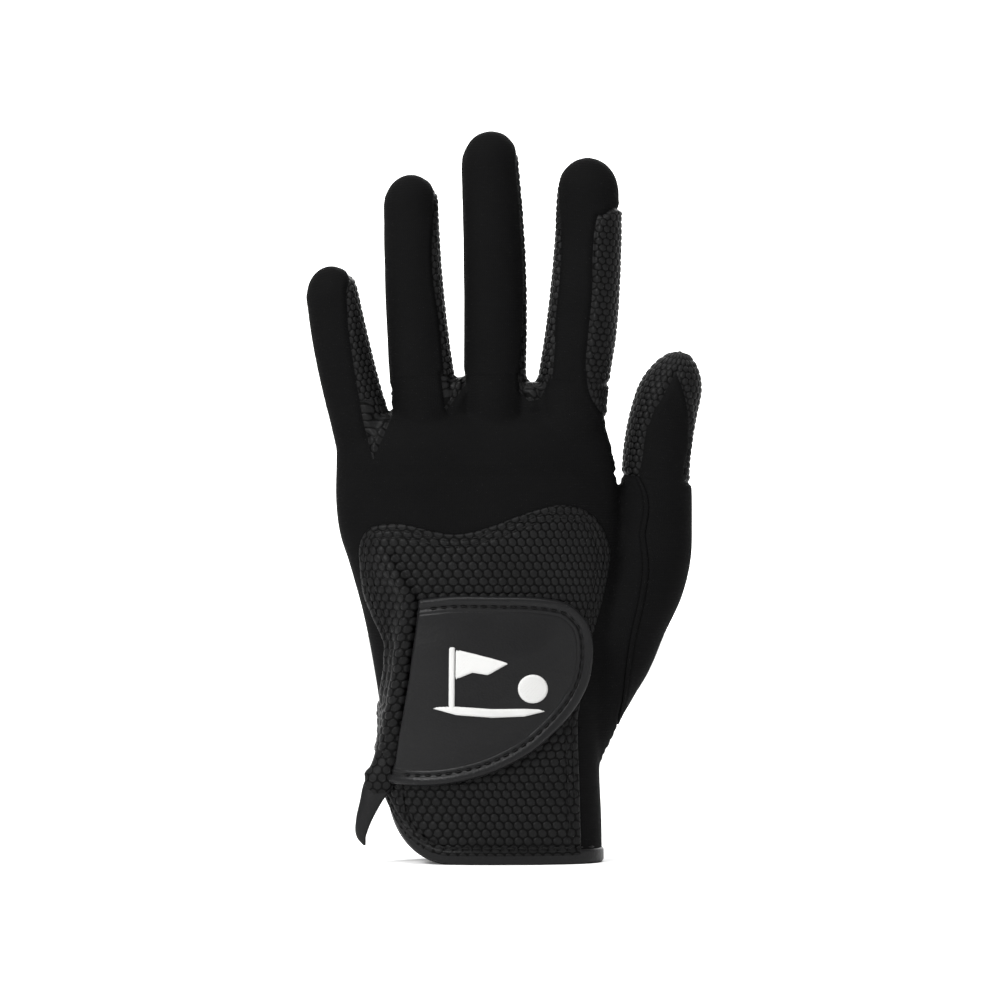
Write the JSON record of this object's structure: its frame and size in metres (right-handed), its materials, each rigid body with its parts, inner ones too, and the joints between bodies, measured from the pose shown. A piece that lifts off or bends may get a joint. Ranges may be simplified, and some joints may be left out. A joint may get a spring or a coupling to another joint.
{
  "type": "golf glove",
  "caption": "Left-hand golf glove in its worn shape, with hinged finger and thumb stalls and an opening wrist strap.",
  "frame": {"origin": "centre of the wrist opening, on the plane of the hem", "axes": "+Z from the cuff to the fingertips, +X to the thumb side, -Y out of the back of the hand"},
  "size_m": [0.1274, 0.0447, 0.2337],
  "materials": {
    "jersey": "matte fine knit",
    "dimpled_synthetic": "soft gloss, raised round dimples",
    "smooth_leather": "satin, fine grain",
    "elastic": "ribbed elastic tape",
    "hook_tape": "stiff hooks",
    "loop_tape": "brushed loop pile",
    "black_thread": "twisted polyester",
    "white_thread": "satin-stitch embroidery"
  },
  "bodies": {
    "hand": {"back_panel": "jersey", "flap_lining": "jersey", "palm_panel": "dimpled_synthetic", "thumb_base_back": "jersey", "thumb_base_front": "dimpled_synthetic", "web_pinky_ring": "dimpled_synthetic", "web_ring_middle": "dimpled_synthetic", "web_middle_index": "dimpled_synthetic", "yoke_main": "dimpled_synthetic", "yoke_flap": "dimpled_synthetic", "flap_fold": "smooth_leather", "flap_tail": "smooth_leather", "loop_patch": "loop_tape", "cuff_binding_back": "smooth_leather", "cuff_binding_palm": "smooth_leather", "wrist_elastic": "elastic", "yoke_stitching": "black_thread"},
    "strap": {"strap_panel": "smooth_leather", "strap_binding": "smooth_leather", "hook_patch": "hook_tape", "strap_stitching": "black_thread", "emblem": "white_thread"},
    "pinky_stall": {"pinky_back": "jersey", "pinky_front": "dimpled_synthetic", "pinky_side_strip": "dimpled_synthetic"},
    "ring_stall": {"ring_back": "jersey", "ring_front": "dimpled_synthetic", "ring_side_strip_left": "dimpled_synthetic", "ring_side_strip_right": "dimpled_synthetic"},
    "middle_stall": {"middle_back": "jersey", "middle_front": "dimpled_synthetic", "middle_side_strip_left": "dimpled_synthetic", "middle_side_strip_right": "dimpled_synthetic"},
    "index_stall": {"index_back": "jersey", "index_front": "dimpled_synthetic", "index_side_strip": "dimpled_synthetic", "index_wrap_patch": "dimpled_synthetic"},
    "thumb_stall": {"thumb_back": "jersey", "thumb_front": "dimpled_synthetic", "thumb_side_strip_left": "dimpled_synthetic", "thumb_side_strip_right": "dimpled_synthetic"}
  },
  "joints": [
    {"name": "pinky_flex", "type": "hinge", "parent": "hand", "child": "pinky_stall", "pos_m": [-0.0439, 0.0086, 0.1435], "axis": [-0.9744, 0, -0.225], "range_deg": [0, 85]},
    {"name": "ring_flex", "type": "hinge", "parent": "hand", "child": "ring_stall", "pos_m": [-0.0225, 0.0094, 0.152], "axis": [-0.9969, 0, -0.0785], "range_deg": [0, 85]},
    {"name": "middle_flex", "type": "hinge", "parent": "hand", "child": "middle_stall", "pos_m": [-0.0004, 0.0096, 0.1556], "axis": [-1, 0, -0.007], "range_deg": [0, 85]},
    {"name": "index_flex", "type": "hinge", "parent": "hand", "child": "index_stall", "pos_m": [0.0249, 0.0098, 0.1524], "axis": [-0.9968, 0, 0.0802], "range_deg": [0, 85]},
    {"name": "thumb_flex", "type": "hinge", "parent": "hand", "child": "thumb_stall", "pos_m": [0.0515, 0.0153, 0.122], "axis": [-0.9925, 0, 0.1219], "range_deg": [0, 50]},
    {"name": "strap_open", "type": "hinge", "parent": "hand", "child": "strap", "pos_m": [-0.0306, -0.01501, 0.025], "axis": [-0.0796, 0.0495, -0.9956], "range_deg": [0, 110]}
  ]
}
